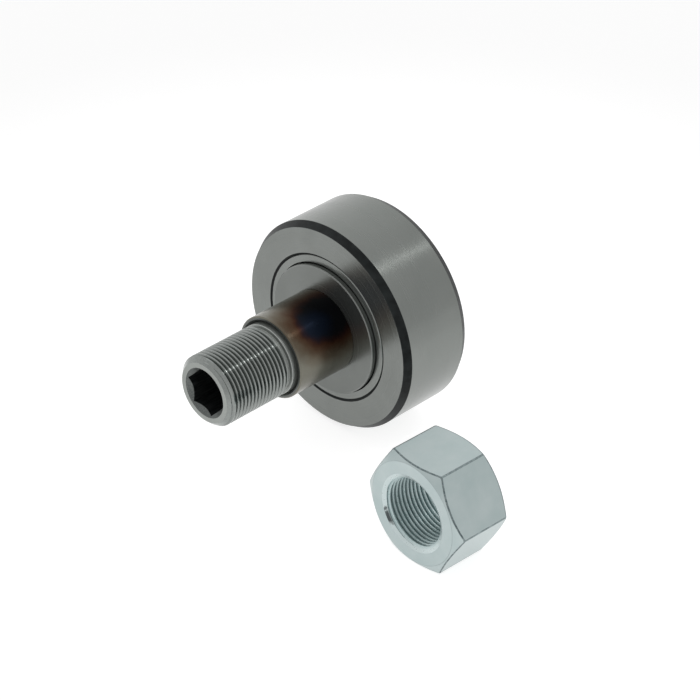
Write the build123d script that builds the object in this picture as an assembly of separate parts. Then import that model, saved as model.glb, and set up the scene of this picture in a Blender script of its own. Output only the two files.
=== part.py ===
from build123d import *
import os
from math import cos, radians, sin, sqrt, tan

# Stud-type track roller (cam follower): a thick-walled outer ring on two rows of cylindrical
# rollers, which run on a stud with an integral flange. A ground sleeve sits on the stud's shank,
# and the hexagon nut that clamps the stud stands loose beside it.
#
# Millimetres. +Z is up, Y is the axis of rotation, and the threaded end points to -Y.
# The origin is on the axis, at the middle of the outer ring's width.
# Outlines are (radius, position along Y) points, turned about the Y axis.

# Outer ring
RING_RADIUS = 36.0
RING_HALF_WIDTH = 14.0
RING_CHAMFER_RADIAL = 1.52
RING_CHAMFER_AXIAL = 2.53

# Roller set: two full rows with no cage
ROLLER_RADIUS = 4.0
ROLLER_PITCH_RADIUS = 20.6
ROLLERS_PER_ROW = 16
ROLLER_CLEARANCE = 0.03  # radial, at each raceway
ROLLER_END_ROUNDING = 0.4
ROW_INNER_END = 0.25
ROW_OUTER_END = 10.85
INNER_RACEWAY_RADIUS = ROLLER_PITCH_RADIUS - ROLLER_RADIUS - ROLLER_CLEARANCE
OUTER_RACEWAY_RADIUS = ROLLER_PITCH_RADIUS + ROLLER_RADIUS + ROLLER_CLEARANCE
HALF_ROLLER_STEP = 180.0 / ROLLERS_PER_ROW

# Labyrinth rings, pressed into the outer ring at both ends
LABYRINTH_OUTER_RADIUS = 25.05
LABYRINTH_INNER_RADIUS = 22.65
LABYRINTH_FACE = 13.85
LABYRINTH_WEB = 1.3
LABYRINTH_LIP = 0.8
LABYRINTH_EDGE = 0.25
SEAT_CHAMFER_RADIAL = 0.75  # on the outer ring, round each labyrinth ring
SEAT_CHAMFER_AXIAL = 0.6

# Stud: raceway between the flange at the front and the side washer at the rear
FLANGE_RADIUS = 22.3
FLANGE_FACE = 15.6
FLANGE_EDGE = 0.25
SHOULDER = 11.2
REAR_SPIGOT_RADIUS = 12.0
REAR_END = 16.0
REAR_EDGE = 0.6

SLEEVE_RADIUS = 14.0
SLEEVE_START = 15.3  # in a shallow recess of the flange's face
SLEEVE_END = 38.6
SLEEVE_EDGE = 0.35
SLEEVE_MOUTH = 1.0  # chamfer in the bore, at the threaded end
FLANGE_RECESS_RADIUS = 14.2

SHANK_RADIUS = 12.0
SHANK_END = 40.2
RELIEF_RADIUS = 10.9
RELIEF_END = 42.2
RELIEF_SLOPE = 0.6
THREAD_RADIUS = 12.0  # M24x1.5, at its major diameter
THREAD_CHAMFER = 1.78
STUD_END = 66.5

# Hexagon sockets in both ends of the stud
SOCKET_ACROSS_FLATS = 14.0
SOCKET_MOUTH_RADIUS = 8.57
SOCKET_DEPTH = 10.0
SOCKET_TURN = 16.0  # direction of one flat about the axis, in degrees from +X

# Lubrication: one hole along the axis and one across, out to the middle of the raceway
OIL_HOLE_RADIUS = 3.0
CROSS_HOLE_RADIUS = 1.5

# Hexagon nut M24x1.5, standing on one flat on the plane that the outer ring stands on
NUT_ACROSS_FLATS = 36.0
NUT_HEIGHT = 21.5
NUT_FACE_RADIUS = 17.3
NUT_CORNER_SLOPE = 30.0
NUT_BORE_RADIUS = 11.19
NUT_MOUTH_RADIUS = 13.1
NUT_CENTRE_X = 71.94
NUT_CENTRE_Y = -37.47
NUT_CENTRE_Z = NUT_ACROSS_FLATS / 2 - RING_RADIUS
NUT_TURN = -2.25  # about Z, in degrees


def turned(outline):
    """The solid that a closed outline makes when it turns about the Y axis."""
    return revolve(make_face(Polyline(*outline, close=True)), Axis.Y)


def hexagon_prism(across_flats, length, start, flat_direction):
    """A hexagonal prism along +Y from start, with one flat facing flat_direction degrees from +X."""
    plane = Plane(origin=(0, start, 0), x_dir=(1, 0, 0), z_dir=(0, -1, 0))
    face = plane * Rot(0, 0, flat_direction + 30) * RegularPolygon(
        across_flats / 2, 6, major_radius=False
    )
    return extrude(face, -length)


def socket_tool(end, inward):
    """The hexagon socket and its conical mouth, cut from the stud's end at `end` along `inward`."""
    bottom = end + inward * SOCKET_DEPTH
    start = min(end, bottom)
    hexagon = hexagon_prism(SOCKET_ACROSS_FLATS, SOCKET_DEPTH, start, SOCKET_TURN)
    mouth_depth = SOCKET_MOUTH_RADIUS - SOCKET_ACROSS_FLATS / 2
    mouth = turned(
        [
            (0, end),
            (SOCKET_MOUTH_RADIUS, end),
            (SOCKET_ACROSS_FLATS / 2, end + inward * mouth_depth),
            (0, end + inward * mouth_depth),
        ]
    )
    return hexagon + mouth


def make_stud():
    body = turned(
        [
            (0, REAR_END),
            (REAR_SPIGOT_RADIUS - REAR_EDGE, REAR_END),
            (REAR_SPIGOT_RADIUS, REAR_END - REAR_EDGE),
            (REAR_SPIGOT_RADIUS, SHOULDER),
            (INNER_RACEWAY_RADIUS, SHOULDER),
            (INNER_RACEWAY_RADIUS, -SHOULDER),
            (FLANGE_RADIUS, -SHOULDER),
            (FLANGE_RADIUS, -FLANGE_FACE + FLANGE_EDGE),
            (FLANGE_RADIUS - FLANGE_EDGE, -FLANGE_FACE),
            (FLANGE_RECESS_RADIUS, -FLANGE_FACE),
            (FLANGE_RECESS_RADIUS, -SLEEVE_START),
            (SHANK_RADIUS, -SLEEVE_START),
            (SHANK_RADIUS, -SHANK_END),
            (RELIEF_RADIUS, -SHANK_END - RELIEF_SLOPE / 2),
            (RELIEF_RADIUS, -RELIEF_END + RELIEF_SLOPE),
            (THREAD_RADIUS, -RELIEF_END),
            (THREAD_RADIUS, -STUD_END + THREAD_CHAMFER),
            (THREAD_RADIUS - THREAD_CHAMFER, -STUD_END),
            (0, -STUD_END),
        ]
    )
    oil_hole = turned(
        [(0, REAR_END), (OIL_HOLE_RADIUS, REAR_END), (OIL_HOLE_RADIUS, -STUD_END), (0, -STUD_END)]
    )
    cross_hole = extrude(Circle(CROSS_HOLE_RADIUS), INNER_RACEWAY_RADIUS + 1)
    return body - socket_tool(-STUD_END, 1) - socket_tool(REAR_END, -1) - oil_hole - cross_hole


def make_shank_sleeve():
    return turned(
        [
            (SHANK_RADIUS, -SLEEVE_START),
            (SLEEVE_RADIUS - SLEEVE_EDGE, -SLEEVE_START),
            (SLEEVE_RADIUS, -SLEEVE_START - SLEEVE_EDGE),
            (SLEEVE_RADIUS, -SLEEVE_END + SLEEVE_EDGE),
            (SLEEVE_RADIUS - SLEEVE_EDGE, -SLEEVE_END),
            (SHANK_RADIUS + SLEEVE_MOUTH, -SLEEVE_END),
            (SHANK_RADIUS, -SLEEVE_END + SLEEVE_MOUTH),
        ]
    )


def make_outer_ring():
    half = [
        (OUTER_RACEWAY_RADIUS, 0),
        (OUTER_RACEWAY_RADIUS, SHOULDER),
        (LABYRINTH_OUTER_RADIUS, SHOULDER),
        (LABYRINTH_OUTER_RADIUS, RING_HALF_WIDTH - SEAT_CHAMFER_AXIAL),
        (LABYRINTH_OUTER_RADIUS + SEAT_CHAMFER_RADIAL, RING_HALF_WIDTH),
        (RING_RADIUS - RING_CHAMFER_RADIAL, RING_HALF_WIDTH),
        (RING_RADIUS, RING_HALF_WIDTH - RING_CHAMFER_AXIAL),
        (RING_RADIUS, 0),
    ]
    mirrored = [(radius, -along) for radius, along in reversed(half[1:-1])]
    return turned(half[1:-1] + mirrored)


def make_labyrinth_ring(side):
    """An angle ring: a lip along the outer ring's bore and a web that closes on the flange."""
    outline = [
        (LABYRINTH_INNER_RADIUS, LABYRINTH_FACE),
        (LABYRINTH_OUTER_RADIUS - LABYRINTH_EDGE, LABYRINTH_FACE),
        (LABYRINTH_OUTER_RADIUS, LABYRINTH_FACE - LABYRINTH_EDGE),
        (LABYRINTH_OUTER_RADIUS, SHOULDER),
        (LABYRINTH_OUTER_RADIUS - LABYRINTH_LIP, SHOULDER),
        (LABYRINTH_OUTER_RADIUS - LABYRINTH_LIP, LABYRINTH_FACE - LABYRINTH_WEB),
        (LABYRINTH_INNER_RADIUS, LABYRINTH_FACE - LABYRINTH_WEB),
    ]
    return turned([(radius, side * along) for radius, along in outline])


def make_side_washer():
    return turned(
        [
            (REAR_SPIGOT_RADIUS, SHOULDER),
            (FLANGE_RADIUS, SHOULDER),
            (FLANGE_RADIUS, FLANGE_FACE - FLANGE_EDGE),
            (FLANGE_RADIUS - FLANGE_EDGE, FLANGE_FACE),
            (REAR_SPIGOT_RADIUS, FLANGE_FACE),
        ]
    )


def make_roller(side, index):
    """One roller of the front (side -1) or rear (side 1) row; the rows are half a step apart."""
    turn = radians(HALF_ROLLER_STEP * (2 * index + (side + 1) / 2))
    roller = turned(
        [
            (0, ROW_INNER_END),
            (ROLLER_RADIUS - ROLLER_END_ROUNDING, ROW_INNER_END),
            (ROLLER_RADIUS, ROW_INNER_END + ROLLER_END_ROUNDING),
            (ROLLER_RADIUS, ROW_OUTER_END - ROLLER_END_ROUNDING),
            (ROLLER_RADIUS - ROLLER_END_ROUNDING, ROW_OUTER_END),
            (0, ROW_OUTER_END),
        ]
    )
    row_shift = 0 if side > 0 else -(ROW_INNER_END + ROW_OUTER_END)
    return Pos(
        ROLLER_PITCH_RADIUS * cos(turn), row_shift, ROLLER_PITCH_RADIUS * sin(turn)
    ) * roller


def make_hex_nut():
    half = NUT_HEIGHT / 2
    corner_radius = NUT_ACROSS_FLATS / sqrt(3)
    beyond = corner_radius + 1
    drop = (beyond - NUT_FACE_RADIUS) * tan(radians(NUT_CORNER_SLOPE))
    hexagon = hexagon_prism(NUT_ACROSS_FLATS, NUT_HEIGHT, -half, 90)
    rounding = turned(
        [
            (0, half),
            (NUT_FACE_RADIUS, half),
            (beyond, half - drop),
            (beyond, drop - half),
            (NUT_FACE_RADIUS, -half),
            (0, -half),
        ]
    )
    mouth_depth = (NUT_MOUTH_RADIUS - NUT_BORE_RADIUS) / sqrt(3)
    bore = turned(
        [
            (0, half),
            (NUT_MOUTH_RADIUS, half),
            (NUT_BORE_RADIUS, half - mouth_depth),
            (NUT_BORE_RADIUS, mouth_depth - half),
            (NUT_MOUTH_RADIUS, -half),
            (0, -half),
        ]
    )
    nut = (hexagon & rounding) - bore
    return Pos(NUT_CENTRE_X, NUT_CENTRE_Y, NUT_CENTRE_Z) * Rot(0, 0, NUT_TURN) * nut


nodes = {
    "stud": make_stud(),
    "shank_sleeve": make_shank_sleeve(),
    "side_washer": make_side_washer(),
    "outer_ring": make_outer_ring(),
    "front_labyrinth_ring": make_labyrinth_ring(-1),
    "rear_labyrinth_ring": make_labyrinth_ring(1),
    "hex_nut": make_hex_nut(),
}
for row, side in (("front", -1), ("rear", 1)):
    for index in range(ROLLERS_PER_ROW):
        nodes[f"roller_{row}_{index + 1:02d}"] = make_roller(side, index)

os.makedirs("parts", exist_ok=True)
for name, shape in nodes.items():
    export_step(shape, f"parts/{name}.step")
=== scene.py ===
import math

import bpy
import numpy as np
from mathutils import Matrix, Vector


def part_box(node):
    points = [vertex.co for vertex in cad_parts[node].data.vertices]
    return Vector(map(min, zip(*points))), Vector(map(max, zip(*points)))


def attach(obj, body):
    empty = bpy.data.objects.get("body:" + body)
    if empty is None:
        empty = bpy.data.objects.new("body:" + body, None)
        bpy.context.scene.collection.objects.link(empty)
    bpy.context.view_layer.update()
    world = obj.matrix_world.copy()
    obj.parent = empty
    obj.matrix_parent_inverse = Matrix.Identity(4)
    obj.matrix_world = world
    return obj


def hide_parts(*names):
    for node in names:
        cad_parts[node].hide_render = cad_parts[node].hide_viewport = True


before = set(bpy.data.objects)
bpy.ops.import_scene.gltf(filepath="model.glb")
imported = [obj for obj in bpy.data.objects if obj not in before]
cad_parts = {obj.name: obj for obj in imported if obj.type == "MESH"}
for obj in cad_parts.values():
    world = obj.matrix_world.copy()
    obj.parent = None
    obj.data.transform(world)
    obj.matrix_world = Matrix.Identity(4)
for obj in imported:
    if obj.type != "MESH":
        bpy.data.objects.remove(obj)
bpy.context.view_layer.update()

# Lengths are metres in Blender. The small details below are in millimetres and go through MM.
MM = 0.001
TAU = 2 * math.pi

# Sizes read from the frame, in millimetres


def span(node):
    """The node's box at rest, as (lowest, highest) corners in millimetres."""
    low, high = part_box(node)
    return low / MM, high / MM


ring_low, ring_high = span("outer_ring")
stud_low, stud_high = span("stud")
sleeve_low, sleeve_high = span("shank_sleeve")
labyrinth_low, labyrinth_high = span("front_labyrinth_ring")
washer_high = span("side_washer")[1]
nut_low, nut_high = span("hex_nut")

RING_RADIUS = ring_high.x
RING_HALF = ring_high.y
FLANGE_RADIUS = stud_high.x
STUD_FRONT = stud_low.y
STUD_REAR = stud_high.y
SLEEVE_RADIUS = sleeve_high.x
SLEEVE_FRONT = sleeve_low.y
SLEEVE_BACK = sleeve_high.y
LABYRINTH_RADIUS = labyrinth_high.x
LABYRINTH_FACE = -labyrinth_low.y
WASHER_FACE = washer_high.y
FLOOR_Z = ring_low.z

# Details, in millimetres
RING_CHAMFER_RADIAL = 1.52
RING_CHAMFER_AXIAL = 2.53
RACEWAY_OUTER = 24.63
RACEWAY_INNER = 16.57
RACEWAY_END = 11.2
SEAT_CHAMFER_RADIAL = 0.75
SEAT_CHAMFER_AXIAL = 0.6
LABYRINTH_EDGE = 0.25
LABYRINTH_BORE = 22.65
LABYRINTH_WEB = 1.3
LABYRINTH_LIP = 0.8
FLANGE_EDGE = 0.25
RECESS_RADIUS = 14.07
SLEEVE_EDGE = 0.35
SLEEVE_MOUTH = 1.0
SHANK_RADIUS = 12.0
SHANK_END = -40.2
RELIEF_RADIUS = 10.9
RELIEF_BOTTOM = (-40.5, -41.6)
RELIEF_END = -42.2
THREAD_PITCH = 1.5
THREAD_RADIUS = 12.0
THREAD_ROOT = 11.08
THREAD_CHAMFER = 1.78
STUD_THREAD_START = 0.77  # in turns, how far before the stud's end its helix starts
NUT_THREAD_START = 0.33
SPIGOT_EDGE = 0.6
SOCKET_FLAT = 7.0
SOCKET_MOUTH = 8.57
SOCKET_DEPTH = 10.0
SOCKET_TURN = 16.0
OIL_HOLE = 3.0

NUT_FLAT = (nut_high.z - nut_low.z) / 2
NUT_TURN = -2.25
NUT_HALF = 10.75
NUT_FACE = 17.3
NUT_SLOPE = 30.0
NUT_CORNER = 1.1  # rounding of the nut's upright edges
WORN_EDGE_ANGLE = 0.9  # in degrees about the nut's axis, each side of an upright edge
WORN_EDGE = 0.85
NUT_MOUTH = 13.1
NUT_MINOR = 11.19
NUT_MAJOR = 12.02

COLUMNS = 240  # round every turned piece
ARC_STEPS = 5
SMOOTH_ANGLE = 25
HOLD_SHARE = 0.25  # how far past a fillet, in fillets, lies the ring that keeps the flat side flat
THREAD_REACH = 0.012  # a thread point this near the end of its thread joins the ring there
CLEARANCE = 0.01  # keeps the faces of two pressed pieces apart


# Mesh work: every piece is made of rings of points round the Y axis, joined by bands of faces


def corner(radius, along, fillet=0.0, band=0, edge=1.0, worn=0.0):
    """One corner of a section: its place, its rounding and the material of the band that leads on.

    edge says how strongly the rounding is marked: a painted highlight on the bare steel, a darker rubbed
    edge on the nut's plating; worn says how worn the band is, column by column.
    """
    return {"r": radius, "y": along, "fillet": fillet, "band": band, "edge": edge, "worn": worn}


class Turned:
    """A mesh of point columns round the Y axis, built ring by ring along a section."""

    def __init__(self, angles):
        self.angles = np.asarray(angles, float)
        self.count = len(self.angles)
        self.points = []
        self.faces = []
        self.bands = []
        self.edges = []
        self.depths = []

    def ring(self, radius, along):
        """Adds one ring and returns the indices of its points."""
        radius = np.broadcast_to(np.asarray(radius, float), self.angles.shape)
        along = np.broadcast_to(np.asarray(along, float), self.angles.shape)
        first = len(self.points)
        x = radius * np.cos(self.angles)
        z = radius * np.sin(self.angles)
        self.points.extend(zip(x, along, z))
        return list(range(first, first + self.count))

    def face(self, indices, band, edge=0.0, depth=0.0):
        """Adds one face, leaving out corners that fall together."""
        kept = [p for k, p in enumerate(indices) if p != indices[k - 1]]
        if len(kept) > 2:
            self.faces.append(kept)
            self.bands.append(band)
            self.edges.append(edge)
            self.depths.append(depth)

    def join(self, first, second, band, edge=0.0):
        """Adds the band of faces between two rings; edge may differ from column to column."""
        edges = np.broadcast_to(edge, self.count)
        for i in range(self.count):
            j = (i + 1) % self.count
            self.face((first[i], second[i], second[j], first[j]), band, float(edges[i]))

    def section(self, corners):
        """Adds the rings and bands of an open section. Returns its first ring, last ring and last band."""
        first = last = None
        for radius, along, band, edge in rounded(corners, self.count):
            ring = self.ring(radius, along)
            if last is not None:
                self.join(last, ring, band_before, edge_before)
            first = first or ring
            last, band_before, edge_before = ring, band, edge
        return first, last, band_before

    def thread(self, low, high, limits, profile, band, start):
        """Adds a right-hand thread between two rings. The profile gives the radius, and how deep it is."""
        offsets, shape = profile
        steps = len(offsets)
        y_low, y_high = limits
        turns = int((y_high - y_low) / THREAD_PITCH) + 3
        made = {}
        sunk = {}

        def point(i, j):
            if i == self.count:
                i, j = 0, j - steps
            lead = THREAD_PITCH * (self.angles[i] - self.angles[0]) / TAU
            along = y_low + THREAD_PITCH * (j // steps - start) + offsets[j % steps] - lead
            if along < y_low + THREAD_REACH:
                return low[i]
            if along > y_high - THREAD_REACH:
                return high[i]
            if (i, j) not in made:
                radius, depth = shape(offsets[j % steps], along)
                made[i, j] = len(self.points)
                sunk[made[i, j]] = depth
                angle = self.angles[i]
                self.points.append((radius * math.cos(angle), along, radius * math.sin(angle)))
            return made[i, j]

        for i in range(self.count):
            for j in range(turns * steps):
                a, b = point(i, j), point(i, j + 1)
                depth = (sunk.get(a, 0.0) + sunk.get(b, 0.0)) / 2
                self.face((a, b, point(i + 1, j + 1), point(i + 1, j)), band, 0.0, depth)

    def build(self, name, materials, body, nodes, place=None):
        """Makes the Blender object, with an edge attribute, and puts it in the frame."""
        mesh = bpy.data.meshes.new(name)
        mesh.from_pydata([tuple(c * MM for c in p) for p in self.points], [], self.faces)
        for material in materials:
            mesh.materials.append(material)
        mesh.polygons.foreach_set("material_index", self.bands)
        mesh.polygons.foreach_set("use_smooth", [True] * len(self.faces))
        for attribute, values in (("edge", self.edges), ("depth", self.depths)):
            mesh.attributes.new(attribute, "FLOAT", "FACE").data.foreach_set("value", values)
        mesh.validate()
        mesh.update()
        mesh.set_sharp_from_angle(angle=math.radians(SMOOTH_ANGLE))
        piece = bpy.data.objects.new(name, mesh)
        bpy.context.scene.collection.objects.link(piece)
        if place is not None:
            piece.matrix_world = place
        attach(piece, body)
        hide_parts(*nodes)
        return piece


def turned_back(corners):
    """The same section walked the other way: each band leads on to the corner that was before."""
    bands = [each["band"] for each in corners]
    back = [dict(each, band=bands[k - 1]) for k, each in enumerate(corners)]
    return back[::-1]


def rounded(corners, count):
    """Rings along a section, as (radius, along, band, edge), with each corner rounded by its fillet."""

    def place(each):
        return np.array([np.broadcast_to(each[axis], count) for axis in ("r", "y")], float)

    rings = []
    for k, here in enumerate(corners):
        point = place(here)
        if here["fillet"] <= 0 or k in (0, len(corners) - 1):
            rings.append((point[0], point[1], here["band"], here["worn"]))
            continue
        before, after = place(corners[k - 1]), place(corners[k + 1])
        into, out = unit(point - before), unit(after - point)
        turn = np.arccos(np.clip((into * out).sum(axis=0), -1, 1))
        reach = here["fillet"] * np.tan(turn / 2)
        hold = HOLD_SHARE * here["fillet"]
        entry, leave = point - into * reach, point + out * reach
        previous = corners[k - 1]
        rings.append((*(entry - into * hold), previous["band"], previous["worn"]))
        for step in range(ARC_STEPS + 1):
            t = step / ARC_STEPS
            arc = (1 - t) ** 2 * entry + 2 * t * (1 - t) * point + t**2 * leave
            edge = here["edge"] if step < ARC_STEPS else here["worn"]
            rings.append((*arc, here["band"], edge))
        rings.append((*(leave + out * hold), here["band"], here["worn"]))
    return rings


def unit(vector):
    """The vectors, one in each column, at length 1."""
    length = np.sqrt((vector**2).sum(axis=0))
    return vector / np.maximum(length, 1e-9)


def ring_angles():
    return np.arange(COLUMNS) * TAU / COLUMNS


def hexagon_angles(first_corner, share_at_corners=0.3, width=3.2):
    """Column angles with a column on each corner, and columns crowded round the corners."""
    per_side = COLUMNS // 6
    near = int(per_side * share_at_corners)
    half = width / 2
    close = np.linspace(-half, half, near + 1)
    wide = np.linspace(half, 60 - half, per_side - near + 1)[1:-1]
    side = np.concatenate([close, wide])
    return np.radians(np.concatenate([first_corner + 60 * k + side for k in range(6)]))


def hexagon_radius(angles, flat, flat_direction, rounding=0.0):
    """Distance from the axis to a hexagon's side, with its corners rounded."""
    off = (np.degrees(angles) - flat_direction + 30) % 60 - 30
    side = flat / np.cos(np.radians(off))
    if rounding <= 0:
        return side
    centre = (flat - rounding) / math.cos(math.pi / 6)
    away = np.radians(30 - np.abs(off))
    arc = centre * np.cos(away) + np.sqrt(np.maximum(rounding**2 - (centre * np.sin(away)) ** 2, 0))
    touch = math.degrees(math.atan((flat - rounding) * math.tan(math.pi / 6) / flat))
    return np.where(np.abs(off) > touch, arc, side)


def outside_thread(limit):
    """Offsets along one pitch and the radius there, for a stud thread cut off at limit(y)."""
    crest = THREAD_PITCH / 7.5  # half the width of a worn crest
    root = THREAD_PITCH / 2
    flank = np.linspace(crest, root - THREAD_PITCH / 12, 5)
    offsets = [0.0, *flank, root, *(THREAD_PITCH - flank[::-1])]

    def shape(offset, along):
        from_crest = min(offset, THREAD_PITCH - offset)
        radius = max(THREAD_RADIUS - max(from_crest - crest, 0) * math.sqrt(3), THREAD_ROOT)
        depth = (THREAD_RADIUS - radius) / (THREAD_RADIUS - THREAD_ROOT)
        cut = THREAD_RADIUS - limit(along)
        if cut > 0:
            depth -= cut / (THREAD_RADIUS - THREAD_ROOT)
        return min(radius, limit(along)), max(depth, 0.0)

    return offsets, shape


def inside_thread(limit):
    """The same for a nut's thread: crests at the minor radius, opened out by limit(y)."""
    crest = THREAD_PITCH / 8
    root = THREAD_PITCH / 2
    flank = np.linspace(crest, root - THREAD_PITCH / 16, 5)
    offsets = [0.0, *flank, root, *(THREAD_PITCH - flank[::-1])]

    def shape(offset, along):
        from_crest = min(offset, THREAD_PITCH - offset)
        radius = min(NUT_MINOR + max(from_crest - crest, 0) * math.sqrt(3), NUT_MAJOR)
        opened = max(limit(along), NUT_MINOR)
        depth = (radius - opened) / (NUT_MAJOR - NUT_MINOR)
        return max(radius, opened), max(depth, 0.0)

    return offsets, shape


# Materials


class Surface:
    """A node material, with short calls for the nodes that its colour, roughness and bump need."""

    def __init__(self, name, metallic=1.0, **sockets):
        self.material = bpy.data.materials.new(name)
        self.material.use_nodes = True
        self.tree = self.material.node_tree
        self.tree.nodes.clear()
        self.shader = self.tree.nodes.new("ShaderNodeBsdfPrincipled")
        output = self.tree.nodes.new("ShaderNodeOutputMaterial")
        self.tree.links.new(self.shader.outputs[0], output.inputs[0])
        self.shader.inputs["Metallic"].default_value = metallic
        for socket, value in sockets.items():
            self.shader.inputs[socket.replace("_", " ")].default_value = value
        coordinates = self.tree.nodes.new("ShaderNodeTexCoord")
        self.place = self.vector("SCALE", coordinates.outputs["Object"], scale=1 / MM)
        apart = self.node("ShaderNodeSeparateXYZ", self.place)
        self.x, self.y, self.z = apart.outputs
        self.radius = self.vector("LENGTH", self.combine(self.x, 0.0, self.z))
        self.angle = self.math("ARCTAN2", self.z, self.x)
        self.edge = self.node("ShaderNodeAttribute", attribute_name="edge").outputs["Fac"]
        self.depth = self.node("ShaderNodeAttribute", attribute_name="depth").outputs["Fac"]

    def node(self, kind, *inputs, **settings):
        made = self.tree.nodes.new(kind)
        for name, value in settings.items():
            setattr(made, name, value)
        for k, value in enumerate(inputs):
            self.feed(made.inputs[k], value)
        return made

    def feed(self, socket, value):
        if isinstance(value, bpy.types.NodeSocket):
            self.tree.links.new(value, socket)
        elif value is not None:
            socket.default_value = value

    def math(self, operation, a, b=None):
        return self.node("ShaderNodeMath", a, b, operation=operation).outputs[0]

    def vector(self, operation, a, b=None, scale=None):
        made = self.node("ShaderNodeVectorMath", a, b, operation=operation)
        if scale is not None:
            made.inputs["Scale"].default_value = scale
        return made.outputs["Value" if operation in ("LENGTH", "DISTANCE") else "Vector"]

    def combine(self, x, y, z):
        return self.node("ShaderNodeCombineXYZ", x, y, z).outputs[0]

    def drawn_round(self, share):
        """Coordinates in which a noise is drawn out into lines round the axis."""
        x, z = (self.math("MULTIPLY", each, share) for each in (self.x, self.z))
        return self.combine(x, self.y, z)

    def noise(self, vector, scale, detail=3.0, roughness=0.55):
        made = self.node("ShaderNodeTexNoise", noise_dimensions="3D")
        self.feed(made.inputs["Vector"], vector)
        made.inputs["Scale"].default_value = scale
        made.inputs["Detail"].default_value = detail
        made.inputs["Roughness"].default_value = roughness
        return made.outputs[0]

    def fade(self, value, low, high):
        """A smooth step, from 0 where value is at low to 1 where it is at high."""
        return self.node("ShaderNodeMapRange", value, low, high, interpolation_type="SMOOTHSTEP").outputs[0]

    def stretch(self, value, low, high, to_low, to_high):
        """A straight line from to_low, where value is at low, to to_high, where it is at high."""
        return self.node("ShaderNodeMapRange", value, low, high, to_low, to_high).outputs[0]

    def mix(self, factor, a, b):
        made = self.node("ShaderNodeMix", data_type="RGBA")
        self.feed(made.inputs[0], factor)
        for socket, value in ((made.inputs[6], a), (made.inputs[7], b)):
            self.feed(socket, value if isinstance(value, bpy.types.NodeSocket) else (*value, 1.0))
        return made.outputs[2]

    def ramp(self, value, stops):
        made = self.node("ShaderNodeValToRGB")
        self.feed(made.inputs[0], value)
        elements = made.color_ramp.elements
        while len(elements) < len(stops):
            elements.new(0.5)
        for element, (place, colour) in zip(elements, stops):
            element.position = place
            element.color = (*colour, 1.0)
        return made.outputs[0]

    def bump(self, height, strength, distance):
        made = self.node("ShaderNodeBump")
        made.inputs["Strength"].default_value = strength
        made.inputs["Distance"].default_value = distance * MM
        self.feed(made.inputs["Height"], height)
        return made.outputs[0]

    def finish(self, colour=None, roughness=None, normal=None):
        self.feed(self.shader.inputs["Base Color"], colour)
        self.feed(self.shader.inputs["Roughness"], roughness)
        self.feed(self.shader.inputs["Normal"], normal)
        return self.material


STEEL = (0.2, 0.211, 0.201)
# The lighter steel painted onto the roundings of turned faces as a highlight
EDGE_HIGHLIGHT_STEEL = (0.42, 0.435, 0.42)


def turned_face_steel(name, tone=1.0, roughness=0.24, mark_scale=9.0):
    """A fine-turned or ground end face: faint rings about the axis over soft stains and an oil film."""
    s = Surface(name, 0.87)
    rings = s.noise(s.combine(s.radius, 0.0, 0.0), mark_scale, 2.0)
    wide_rings = s.noise(s.combine(s.radius, 3.0, 0.0), 1.1, 1.0)
    stains = s.noise(s.place, 0.11, 3.0)
    dark = tuple(c * tone * 0.94 for c in STEEL)
    light = tuple(c * tone * 1.06 for c in STEEL)
    colour = s.mix(s.stretch(stains, 0.3, 0.7, 0.0, 1.0), dark, light)
    colour = s.mix(s.stretch(rings, 0.3, 0.7, 0.0, 0.12), colour, tuple(c * tone * 1.15 for c in STEEL))
    # Lighter on the roundings: painted highlight
    colour = s.mix(s.math("MULTIPLY", s.edge, 0.7), colour, EDGE_HIGHLIGHT_STEEL)
    fine = s.stretch(rings, 0.3, 0.7, roughness - 0.02, roughness + 0.03)
    rough = s.math("ADD", fine, s.stretch(wide_rings, 0.3, 0.7, -0.02, 0.02))
    return s.finish(colour, rough, s.bump(rings, 0.05, 0.01))


def ground_barrel_steel():
    """The outer ring's running surface: fine grinding lines round it, with a few broader bands."""
    s = Surface("ground_barrel_steel")
    around = s.drawn_round(0.03)
    lines = s.noise(around, 7.0, 3.0, 0.6)
    broad = s.noise(around, 0.55, 2.0)
    stains = s.noise(s.place, 0.07, 3.0)
    colour = s.mix(s.stretch(stains, 0.3, 0.7, 0.0, 1.0), (0.19, 0.203, 0.192), (0.21, 0.222, 0.211))
    colour = s.mix(s.stretch(lines, 0.3, 0.7, 0.0, 0.4), colour, (0.23, 0.242, 0.232))
    fine = s.stretch(lines, 0.3, 0.7, 0.2, 0.26)
    rough = s.math("ADD", fine, s.stretch(broad, 0.3, 0.7, -0.02, 0.03))
    return s.finish(colour, rough, s.bump(lines, 0.03, 0.01))


def dark_chamfer_steel():
    """The outer ring's chamfers, left black from hardening, with turned lines round them."""
    s = Surface("dark_chamfer_steel", 0.0, Specular_IOR_Level=0.15)
    lines = s.noise(s.drawn_round(0.05), 6.0, 2.0)
    patches = s.noise(s.place, 0.25, 3.0)
    patchy = s.stretch(patches, 0.35, 0.65, 0.0, 1.0)
    colour = s.mix(patchy, (0.003, 0.0045, 0.0045), (0.012, 0.015, 0.015))
    # Lighter on the roundings: painted highlight
    colour = s.mix(s.math("MULTIPLY", s.edge, 0.25), colour, (0.12, 0.125, 0.125))
    rough = s.stretch(lines, 0.3, 0.7, 0.34, 0.48)
    return s.finish(colour, rough, s.bump(lines, 0.25, 0.02))


def gap_shade_steel():
    """Walls of the narrow gaps: steel painted near-black as shade, with a faint mottle in colour and gloss.
    """
    s = Surface("gap_shade_steel", 0.0, Specular_IOR_Level=0.2)
    film = s.noise(s.place, 0.5, 3.0)
    colour = s.mix(s.stretch(film, 0.3, 0.7, 0.0, 1.0), (0.004, 0.0045, 0.0045), (0.012, 0.013, 0.012))
    return s.finish(colour, s.stretch(film, 0.3, 0.7, 0.4, 0.6), s.bump(film, 0.1, 0.02))


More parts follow.
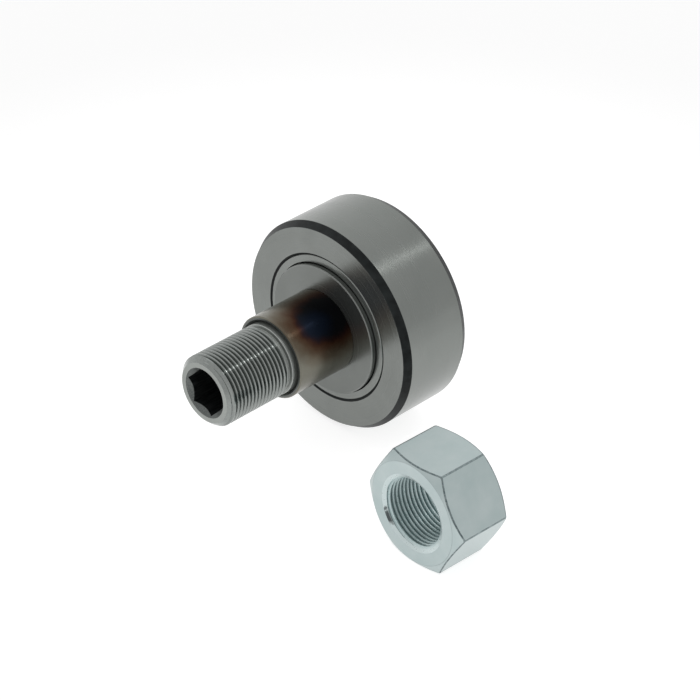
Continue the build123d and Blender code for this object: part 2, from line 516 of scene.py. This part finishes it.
def thread_steel():
    """The stud's thread: grey rolled crests, with painted shade darkening it towards the roots."""
    s = Surface("thread_steel")
    speckle = s.noise(s.place, 1.6, 3.0, 0.6)
    crest = s.mix(s.stretch(speckle, 0.3, 0.7, 0.0, 1.0), (0.22, 0.235, 0.226), (0.27, 0.286, 0.276))
    # Darker towards the roots: painted shade
    colour = s.mix(s.fade(s.depth, 0.15, 0.95), crest, (0.13, 0.142, 0.137))
    gloss = s.stretch(speckle, 0.3, 0.7, 0.12, 0.18)
    rough = s.math("ADD", gloss, s.stretch(s.depth, 0.1, 0.6, 0.0, 0.04))
    return s.finish(colour, rough, s.bump(speckle, 0.05, 0.02))


def socket_steel(name, low, high):
    """The broached hexagon and its cone: dark, with drag lines along the axis."""
    s = Surface(name, 0.9)
    lines = s.noise(s.combine(s.x, s.math("MULTIPLY", s.y, 0.06), s.z), 3.0, 3.0)
    colour = s.mix(s.stretch(lines, 0.35, 0.65, 0.0, 1.0), low, high)
    return s.finish(colour, s.stretch(lines, 0.3, 0.7, 0.35, 0.5), s.bump(lines, 0.3, 0.03))


HEATED_SPOT = (57.0, -21.5)  # on the sleeve: the angle in degrees and the place along the axis
HEATED_REACH = 16.0
HEATED_SQUEEZE = 0.74  # the tint reaches farther along the axis than round it
NAVY_SPOT = (52.0, -26.8)
NAVY_SQUEEZE = 0.85
TEMPER_COLOURS = [
    (0.0, (0.002, 0.003, 0.005)),
    (0.4, (0.002, 0.002, 0.003)),
    (0.5, (0.018, 0.004, 0.002)),
    (0.57, (0.042, 0.014, 0.005)),
    (0.66, (0.066, 0.037, 0.02)),
    (0.8, (0.1, 0.08, 0.055)),
    (1.0, (0.155, 0.15, 0.122)),
]
NAVY = (0.002, 0.008, 0.022)


def heat_tinted_steel():
    """The ground sleeve, tinted by one heated spot: black with a navy part, then brown, straw and steel."""
    s = Surface("heat_tinted_steel", 0.8)
    wander = s.stretch(s.noise(s.place, 0.28, 3.0), 0.3, 0.7, -0.6, 0.6)

    def away_from(spot, squeeze):
        """Distance from a spot on the sleeve, with lengths along the axis squeezed."""
        angle = math.radians(spot[0])
        centre = (SLEEVE_RADIUS * math.cos(angle), spot[1] * squeeze, SLEEVE_RADIUS * math.sin(angle))
        squeezed = s.combine(s.x, s.math("MULTIPLY", s.y, squeeze), s.z)
        return s.math("ADD", s.vector("DISTANCE", squeezed, centre), wander)

    heated = s.stretch(away_from(HEATED_SPOT, HEATED_SQUEEZE), 0.0, HEATED_REACH, 0.0, 1.0)
    tint = s.ramp(heated, TEMPER_COLOURS)
    navy = s.fade(away_from(NAVY_SPOT, NAVY_SQUEEZE), 7.0, 2.0)
    colour = s.mix(s.math("MULTIPLY", navy, 0.8), tint, NAVY)
    lines = s.noise(s.drawn_round(0.05), 8.0, 2.0)
    # Lighter on the roundings: painted highlight
    colour = s.mix(s.math("MULTIPLY", s.edge, 0.2), colour, (0.25, 0.25, 0.24))
    rough = s.stretch(lines, 0.3, 0.7, 0.22, 0.27)
    return s.finish(colour, rough, s.bump(lines, 0.03, 0.01))


def zinc_steel(name, colour_low, colour_high, roughness):
    """Zinc plating with a pale blue passivate: soft clouds and rubbed edges."""
    s = Surface(name, 0.85)
    clouds = s.noise(s.place, 0.12, 3.0)
    colour = s.mix(s.stretch(clouds, 0.3, 0.7, 0.0, 1.0), colour_low, colour_high)
    scuffs = s.stretch(s.noise(s.place, 0.9, 4.0, 0.7), 0.35, 0.6, 0.55, 1.0)
    colour = s.mix(s.math("MULTIPLY", s.edge, scuffs), colour, (0.1, 0.13, 0.135))
    rough = s.stretch(clouds, 0.3, 0.7, roughness - 0.04, roughness + 0.04)
    return s.finish(colour, rough, s.bump(clouds, 0.1, 0.05))


# The painted shadow on the countersink where the nut's thread starts
THREAD_START_SHADE_ANGLE = -146  # where the nut's thread starts
THREAD_START_SHADE_RADIUS = (11.7, 12.3)  # it fades in over this span, up the countersink
THREAD_START_SHADE_DEPTH = (0.7, 1.2)  # and fades out over this span below the nut's front face


def zinc_thread_steel():
    """The nut's thread and its countersinks, with painted shade towards the roots and a painted shadow
    where the thread starts.
    """
    s = Surface("zinc_thread_steel", 0.6)
    speckle = s.noise(s.place, 0.9, 3.0)
    crest = s.mix(s.stretch(speckle, 0.3, 0.7, 0.0, 1.0), (0.42, 0.52, 0.52), (0.5, 0.59, 0.59))
    crest = s.mix(s.fade(s.radius, NUT_MINOR + 0.3, NUT_MAJOR + 0.2), crest, (0.54, 0.62, 0.62))
    # Darker towards the roots: painted shade
    colour = s.mix(s.fade(s.depth, 0.1, 0.9), crest, (0.23, 0.32, 0.325))
    off_mark = s.math("ABSOLUTE", s.math("ADD", s.angle, math.radians(-THREAD_START_SHADE_ANGLE)))
    ragged_distance = s.math("ADD", off_mark, s.stretch(speckle, 0.35, 0.65, -0.08, 0.08))
    near_face = s.fade(s.y, THREAD_START_SHADE_DEPTH[1] - NUT_HALF, THREAD_START_SHADE_DEPTH[0] - NUT_HALF)
    at_face = s.math("MULTIPLY", s.fade(s.radius, *THREAD_START_SHADE_RADIUS), near_face)
    mark = s.math("MULTIPLY", s.fade(ragged_distance, 0.3, 0.12), at_face)
    # Darkens the thread's start: painted shadow
    colour = s.mix(s.math("MULTIPLY", mark, 0.9), colour, (0.01, 0.014, 0.016))
    return s.finish(colour, s.stretch(speckle, 0.3, 0.7, 0.26, 0.36), s.bump(speckle, 0.1, 0.02))


def roller_steel():
    """Lapped rollers inside the bearing, with a trace of grease in their gloss."""
    s = Surface("roller_steel")
    film = s.noise(s.place, 0.4, 3.0)
    colour = s.mix(s.stretch(film, 0.3, 0.7, 0.0, 1.0), (0.42, 0.42, 0.4), (0.55, 0.55, 0.54))
    return s.finish(colour, s.stretch(film, 0.3, 0.7, 0.08, 0.2), s.bump(film, 0.05, 0.01))


# Pieces

# The places of the materials in the lists of the outer ring, the stud, the sleeve, the labyrinth
# rings and washer, and the nut
END_FACE, DARK_CHAMFER, BARREL, RING_TRACK = range(4)
# GAP here and IN_GAP below take the gap steel painted near-black as shade
FLANGE, THREAD, SHANK, SOCKET, STUD_TRACK, CONE, GAP = range(7)
TINTED, MOUTH = range(2)
TURNED, IN_GAP = range(2)
PLATED, NUT_THREAD = range(2)


def make_outer_ring():
    ring = Turned(ring_angles())
    barrel_end = RING_HALF - RING_CHAMFER_AXIAL
    face_edge = RING_RADIUS - RING_CHAMFER_RADIAL
    seat = LABYRINTH_RADIUS
    front = [
        corner(RACEWAY_OUTER, 0, 0, RING_TRACK),
        corner(RACEWAY_OUTER, -RACEWAY_END, 0, RING_TRACK),
        corner(seat, -RACEWAY_END, 0, RING_TRACK),
        corner(seat, -RING_HALF + SEAT_CHAMFER_AXIAL, 0, DARK_CHAMFER),
        corner(seat + SEAT_CHAMFER_RADIAL, -RING_HALF, 0.06, END_FACE),
        corner(face_edge, -RING_HALF, 0.12, DARK_CHAMFER),
        corner(RING_RADIUS, -barrel_end, 0.25, BARREL),
    ]
    rear = [
        corner(RING_RADIUS, barrel_end, 0.25, DARK_CHAMFER),
        corner(face_edge, RING_HALF, 0.12, END_FACE),
        corner(seat + SEAT_CHAMFER_RADIAL, RING_HALF, 0.06, DARK_CHAMFER),
        corner(seat, RING_HALF - SEAT_CHAMFER_AXIAL, 0, RING_TRACK),
        corner(seat, RACEWAY_END, 0, RING_TRACK),
        corner(RACEWAY_OUTER, RACEWAY_END, 0, RING_TRACK),
    ]
    first, last, band = ring.section(front + rear)
    ring.join(last, first, band)
    face = turned_face_steel("ring_face_steel", 0.97)
    materials = [face, dark_chamfer_steel(), ground_barrel_steel(), roller_steel()]
    ring.build("outer_ring_turned", materials, "outer_ring", ["outer_ring"])


def make_labyrinth_ring(name, node, side, materials):
    ring = Turned(ring_angles())
    corners = [
        corner(LABYRINTH_BORE, LABYRINTH_FACE - LABYRINTH_WEB, 0, IN_GAP),
        corner(LABYRINTH_BORE, LABYRINTH_FACE, 0.08, TURNED),
        corner(LABYRINTH_RADIUS - LABYRINTH_EDGE, LABYRINTH_FACE, 0.05, TURNED),
        corner(LABYRINTH_RADIUS - CLEARANCE, LABYRINTH_FACE - LABYRINTH_EDGE, 0, TURNED),
        corner(LABYRINTH_RADIUS - CLEARANCE, RACEWAY_END + CLEARANCE, 0, TURNED),
        corner(LABYRINTH_RADIUS - LABYRINTH_LIP, RACEWAY_END + CLEARANCE, 0, TURNED),
        corner(LABYRINTH_RADIUS - LABYRINTH_LIP, LABYRINTH_FACE - LABYRINTH_WEB, 0, TURNED),
    ]
    for each in corners:
        each["y"] *= side
    if side > 0:
        corners = turned_back(corners)
    first, last, band = ring.section(corners)
    ring.join(last, first, band)
    ring.build(name, materials, "outer_ring", [node])


def socket_rings(end, inward, wall):
    """Corners from a hexagon socket's mouth to its floor: cone, flats, floor and oil hole."""
    return [
        corner(SOCKET_MOUTH, end, 0.06, CONE),
        corner(wall, end + inward * (SOCKET_MOUTH - wall), 0, SOCKET),
        corner(wall, end + inward * SOCKET_DEPTH, 0, SOCKET),
        corner(OIL_HOLE, end + inward * SOCKET_DEPTH, 0, SOCKET),
    ]


def make_stud():
    angles = np.radians(SOCKET_TURN + 30) + ring_angles()
    stud = Turned(angles)
    wall = hexagon_radius(angles, SOCKET_FLAT, SOCKET_TURN)
    chamfer_start = THREAD_RADIUS - THREAD_CHAMFER

    def limit(along):
        from_end = along - STUD_FRONT
        into_relief = (along - RELIEF_END) / (RELIEF_BOTTOM[1] - RELIEF_END)
        runout = THREAD_RADIUS - (THREAD_RADIUS - RELIEF_RADIUS) * into_relief
        return min(chamfer_start + from_end, runout)

    mouth = [corner(chamfer_start, STUD_FRONT, 0, SHANK), *socket_rings(STUD_FRONT, 1, wall)]
    front = turned_back(mouth)
    hole_first, thread_low, _ = stud.section(front)
    shank = SHANK_RADIUS - CLEARANCE
    body = [
        corner(RELIEF_RADIUS, RELIEF_BOTTOM[1], 0, SHANK),
        corner(RELIEF_RADIUS, RELIEF_BOTTOM[0], 0.12, SHANK),
        corner(SHANK_RADIUS, SHANK_END, 0.2, SHANK),
        corner(SHANK_RADIUS, SLEEVE_FRONT + SLEEVE_MOUTH - 0.1, 0, SHANK),
        corner(shank, SLEEVE_FRONT + SLEEVE_MOUTH, 0, SHANK),
        corner(shank, SLEEVE_BACK + CLEARANCE, 0, SHANK),
        corner(RECESS_RADIUS, SLEEVE_BACK + CLEARANCE, 0, SHANK),
        corner(RECESS_RADIUS, -WASHER_FACE, 0.06, FLANGE),
        corner(FLANGE_RADIUS - FLANGE_EDGE, -WASHER_FACE, 0.06, FLANGE),
        corner(FLANGE_RADIUS, -WASHER_FACE + FLANGE_EDGE, 0.08, FLANGE),
        corner(FLANGE_RADIUS, -LABYRINTH_FACE, 0, GAP),
        corner(FLANGE_RADIUS, -RACEWAY_END, 0, STUD_TRACK),
        corner(RACEWAY_INNER, -RACEWAY_END, 0, STUD_TRACK),
        corner(RACEWAY_INNER, RACEWAY_END, 0, SHANK),
        corner(shank, RACEWAY_END, 0, SHANK),
        corner(shank, STUD_REAR - SPIGOT_EDGE, 0.15, SHANK),
        corner(SHANK_RADIUS - SPIGOT_EDGE, STUD_REAR, 0.15, SHANK),
    ]
    body += socket_rings(STUD_REAR, -1, wall)
    relief, hole_last, _ = stud.section(body)
    ends = (STUD_FRONT, RELIEF_BOTTOM[1])
    stud.thread(thread_low, relief, ends, outside_thread(limit), THREAD, STUD_THREAD_START)
    stud.join(hole_last, hole_first, SOCKET)
    materials = [
        turned_face_steel("flange_steel", 0.8),
        thread_steel(),
        # The relief and land take a lighter copy of the turned steel: painted light
        turned_face_steel("shank_steel", 1.45, 0.38, 6.0),
        socket_steel("socket_steel", (0.022, 0.025, 0.026), (0.06, 0.064, 0.065)),
        roller_steel(),
        socket_steel("socket_cone_steel", (0.09, 0.097, 0.094), (0.15, 0.16, 0.155)),
        gap_shade_steel(),
    ]
    stud.build("stud_turned", materials, "stud", ["stud"])


def make_shank_sleeve():
    sleeve = Turned(ring_angles())
    corners = [
        corner(SHANK_RADIUS, SLEEVE_BACK, 0, TINTED),
        corner(SHANK_RADIUS, SLEEVE_FRONT + SLEEVE_MOUTH, 0, MOUTH),
        corner(SHANK_RADIUS + SLEEVE_MOUTH, SLEEVE_FRONT, 0.05, MOUTH, 0.0),
        corner(SLEEVE_RADIUS - SLEEVE_EDGE, SLEEVE_FRONT, 0.08, TINTED),
        corner(SLEEVE_RADIUS, SLEEVE_FRONT + SLEEVE_EDGE, 0.12, TINTED),
        corner(SLEEVE_RADIUS, SLEEVE_BACK - SLEEVE_EDGE, 0.12, TINTED),
        corner(SLEEVE_RADIUS - SLEEVE_EDGE, SLEEVE_BACK, 0, TINTED),
    ]
    first, last, band = sleeve.section(corners)
    sleeve.join(last, first, band)
    materials = [heat_tinted_steel(), turned_face_steel("sleeve_mouth_steel", 0.6, 0.35)]
    sleeve.build("shank_sleeve_ground", materials, "stud", ["shank_sleeve"])


def make_side_washer():
    washer = Turned(ring_angles())
    corners = [
        corner(FLANGE_RADIUS, RACEWAY_END, 0, IN_GAP),
        corner(FLANGE_RADIUS, LABYRINTH_FACE, 0, TURNED),
        corner(FLANGE_RADIUS, WASHER_FACE - FLANGE_EDGE, 0.08, TURNED),
        corner(FLANGE_RADIUS - FLANGE_EDGE, WASHER_FACE, 0.06, TURNED),
        corner(SHANK_RADIUS, WASHER_FACE, 0.1, TURNED),
        corner(SHANK_RADIUS, RACEWAY_END, 0, TURNED),
    ]
    first, last, band = washer.section(corners)
    washer.join(last, first, band)
    materials = [turned_face_steel("washer_steel"), bpy.data.materials["gap_shade_steel"]]
    washer.build("side_washer_turned", materials, "stud", ["side_washer"])


def make_nut():
    angles = hexagon_angles(0.0)
    nut = Turned(angles)
    side = hexagon_radius(angles, NUT_FLAT, 90.0, NUT_CORNER)
    drop = (side - NUT_FACE) * math.tan(math.radians(NUT_SLOPE))
    from_edge = np.abs((np.degrees(angles) + 30) % 60 - 30)
    worn = np.where(from_edge < WORN_EDGE_ANGLE, WORN_EDGE, 0.0)

    def limit(along):
        return NUT_MOUTH - (NUT_HALF - abs(along)) * math.sqrt(3)

    outside = [
        corner(NUT_MOUTH, -NUT_HALF, 0, PLATED),
        corner(NUT_FACE, -NUT_HALF, 0.5, PLATED, 0.3),
        corner(side, drop - NUT_HALF, 0.6, PLATED, 1.0, worn),
        corner(side, NUT_HALF - drop, 0.6, PLATED),
        corner(NUT_FACE, NUT_HALF, 0.5, PLATED, 0.3),
        corner(NUT_MOUTH, NUT_HALF, 0, PLATED),
    ]
    low, high, _ = nut.section(outside)
    nut.thread(low, high, (-NUT_HALF, NUT_HALF), inside_thread(limit), NUT_THREAD, NUT_THREAD_START)
    centre = (nut_low + nut_high) / 2 * MM
    place = Matrix.Translation(centre) @ Matrix.Rotation(math.radians(NUT_TURN), 4, "Z")
    plated = zinc_steel("zinc_steel", (0.39, 0.465, 0.465), (0.45, 0.515, 0.515), 0.32)
    materials = [plated, zinc_thread_steel()]
    nut.build("hex_nut_plated", materials, "nut", ["hex_nut"], place)


def dress_rollers():
    material = roller_steel()
    for name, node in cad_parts.items():
        if name.startswith("roller_"):
            node.data.materials.clear()
            node.data.materials.append(material)


# Stage, light and camera

FLOOR_GLOW = 0.78  # the paper is lit from behind, as on a light table
FLOOR_SIZE = 4.0  # in metres


def make_floor():
    mesh = bpy.data.meshes.new("floor")
    half = FLOOR_SIZE / 2
    z = FLOOR_Z * MM
    outline = [(-half, -half, z), (half, -half, z), (half, half, z), (-half, half, z)]
    mesh.from_pydata(outline, [], [(0, 1, 2, 3)])
    floor = bpy.data.objects.new("floor", mesh)
    bpy.context.scene.collection.objects.link(floor)
    s = Surface("floor_paper", 0.0, Emission_Strength=FLOOR_GLOW)
    away = s.fade(s.vector("LENGTH", s.place), 60.0, 280.0)
    s.feed(s.shader.inputs["Emission Color"], s.mix(away, (1.0, 1.0, 1.0), (0.68, 0.68, 0.68)))
    s.finish((0.44, 0.44, 0.44, 1.0), 0.9)
    mesh.materials.append(s.material)


def area_light(name, direction, distance, size, power):
    """A soft panel that faces the origin from the given direction, its long side in the Y plane."""
    light = bpy.data.lights.new(name, "AREA")
    light.shape = "RECTANGLE"
    light.size, light.size_y = size
    light.energy = power
    panel = bpy.data.objects.new(name, light)
    bpy.context.scene.collection.objects.link(panel)
    towards = Vector(direction).normalized()
    side = Vector((0, 1, 0)).cross(towards).normalized()
    up = towards.cross(side)
    turn = Matrix((side, up, towards)).transposed().to_4x4()
    panel.matrix_world = Matrix.Translation(towards * distance) @ turn


WINDOW_SIDE = (-0.85, 0.5, 0.0)
WINDOW_FADE = (0.15, 0.85)  # the room brightens over this span towards the window
ROOM_LIGHT = (0.84, 1.07)


def light_scene():
    """A white room, brighter on its window side, with three panels."""
    world = bpy.data.worlds.new("studio")
    bpy.context.scene.world = world
    world.use_nodes = True
    nodes, links = world.node_tree.nodes, world.node_tree.links
    background = nodes["Background"]
    background.inputs["Color"].default_value = (1.0, 1.0, 1.0, 1.0)
    towards_window = nodes.new("ShaderNodeVectorMath")
    towards_window.operation = "DOT_PRODUCT"
    towards_window.inputs[1].default_value = WINDOW_SIDE
    links.new(nodes.new("ShaderNodeTexCoord").outputs["Generated"], towards_window.inputs[0])
    strength = nodes.new("ShaderNodeMapRange")
    for k, value in enumerate(WINDOW_FADE + ROOM_LIGHT, start=1):
        strength.inputs[k].default_value = value
    links.new(towards_window.outputs["Value"], strength.inputs[0])
    links.new(strength.outputs[0], background.inputs["Strength"])
    area_light("streak_panel", (0.305, 0.59, 0.745), 1.3, (0.05, 1.6), 0.45)
    area_light("thread_panel", (0.351, 0.374, 0.857), 1.34, (0.06, 0.5), 0.42)
    area_light("top_panel", (-0.5, -0.35, 1.0), 1.8, (1.2, 1.2), 1.5)


CAMERA_AZIMUTH = 45.1
CAMERA_ELEVATION = 33.45
CAMERA_DISTANCE = 0.88816
CAMERA_PAN = (-0.002218, -0.012554)
CAMERA_LENS = 141.75


def place_camera():
    azimuth, elevation = math.radians(CAMERA_AZIMUTH), math.radians(CAMERA_ELEVATION)
    back = Vector(
        (
            math.sin(azimuth) * math.cos(elevation),
            -math.cos(azimuth) * math.cos(elevation),
            math.sin(elevation),
        )
    )
    right = Vector((math.cos(azimuth), math.sin(azimuth), 0))
    up = back.cross(right)
    data = bpy.data.cameras.new("camera")
    data.lens = CAMERA_LENS
    camera = bpy.data.objects.new("camera", data)
    bpy.context.scene.collection.objects.link(camera)
    place = back * CAMERA_DISTANCE + right * CAMERA_PAN[0] + up * CAMERA_PAN[1]
    camera.matrix_world = Matrix.Translation(place) @ Matrix((right, up, back)).transposed().to_4x4()
    bpy.context.scene.camera = camera


place_camera()
make_outer_ring()
make_stud()
labyrinth_materials = [turned_face_steel("labyrinth_steel"), bpy.data.materials["gap_shade_steel"]]
make_labyrinth_ring("front_labyrinth_turned", "front_labyrinth_ring", -1, labyrinth_materials)
make_labyrinth_ring("rear_labyrinth_turned", "rear_labyrinth_ring", 1, labyrinth_materials)
make_shank_sleeve()
make_side_washer()
make_nut()
dress_rollers()
make_floor()
light_scene()
bpy.context.scene.view_settings.view_transform = "Standard"
